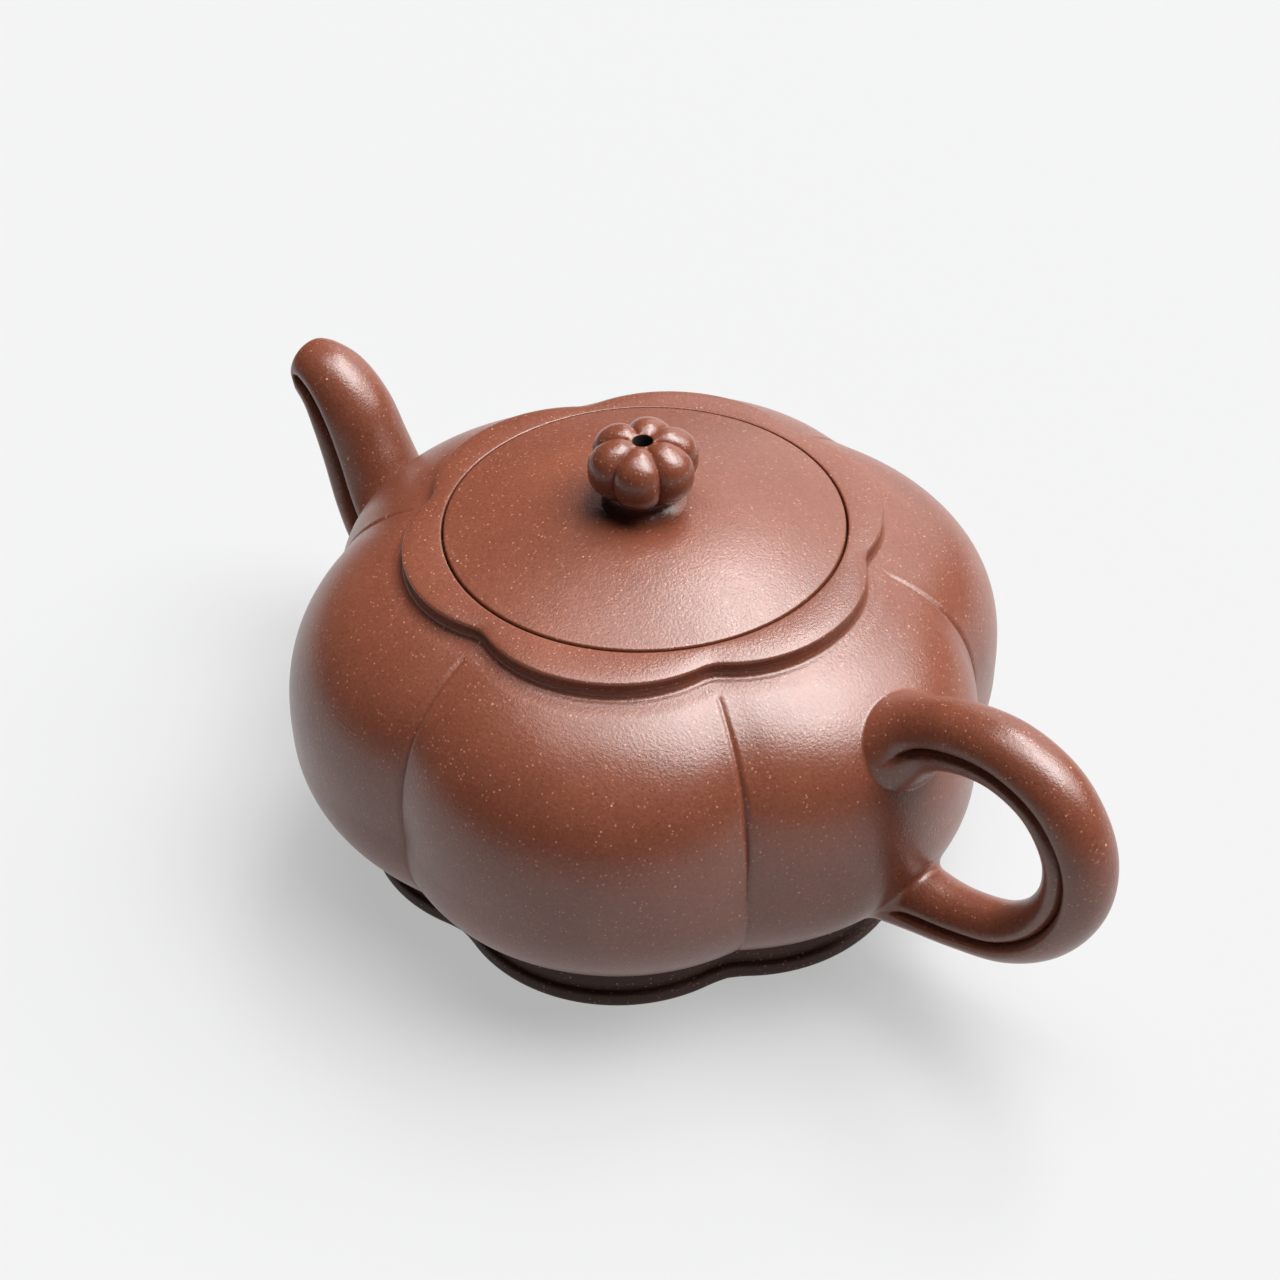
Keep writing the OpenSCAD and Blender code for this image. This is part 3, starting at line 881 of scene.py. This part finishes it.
def soft_sun(name, azimuth, elevation, spread, strength):
    """A far soft light. Azimuth is from +X towards +Y, spread is its width as seen from the pot, all in
    degrees, and strength is in watts per square metre."""
    data = bpy.data.lights.new(name, "SUN")
    data.angle = math.radians(spread)
    data.energy = strength
    lamp = bpy.data.objects.new(name, data)
    out = direction(azimuth, elevation)
    lamp.location = out * 2
    lamp.rotation_mode = "QUATERNION"
    lamp.rotation_quaternion = (-out).to_track_quat("-Z", "Y")
    bpy.context.scene.collection.objects.link(lamp)


def direction(azimuth, elevation):
    a, e = math.radians(azimuth), math.radians(elevation)
    return Vector((math.cos(e) * math.cos(a), math.cos(e) * math.sin(a), math.sin(e)))


make_floor()
make_backdrop()
soft_sun("key", 289, 57, 17, 1.08)
soft_sun("window", 235, 50, 50, 2.80)
soft_sun("ceiling", 222, 68, 40, 2.95)
soft_sun("overhead", 330, 82, 38, 1.45)
soft_sun("low", 290, 24, 48, 0.65)


# ------------------------------------------------------------------------------------------ camera
VIEW_AZ, VIEW_EL, VIEW_ROLL = 135.05, 39.89, -1.46
# Distance from a point on the pot's axis at height VIEW_Z, and how far the camera is moved across
VIEW_D, VIEW_Z = 323.2, 45.0
VIEW_SIDE, VIEW_RISE = -1.09, -9.70
VIEW_LENS = 61.875


def make_camera():
    out = direction(VIEW_AZ, VIEW_EL)
    right = direction(VIEW_AZ + 90, 0)
    up = out.cross(right)
    eye = right * VIEW_SIDE + up * VIEW_RISE + out * VIEW_D + Vector((0, 0, VIEW_Z))
    roll = math.radians(VIEW_ROLL)
    rolled_right = right * math.cos(roll) + up * math.sin(roll)
    rolled_up = up * math.cos(roll) - right * math.sin(roll)
    lens = bpy.data.cameras.new("view")
    lens.sensor_width = 36
    lens.lens = VIEW_LENS
    lens.clip_start, lens.clip_end = 0.01, 50
    camera = bpy.data.objects.new("view", lens)
    matrix = Matrix((rolled_right, rolled_up, out)).transposed().to_4x4()
    matrix.translation = eye * MM
    camera.matrix_world = matrix
    bpy.context.scene.collection.objects.link(camera)
    return camera


bpy.context.scene.camera = make_camera()
bpy.context.scene.view_settings.view_transform = "Standard"
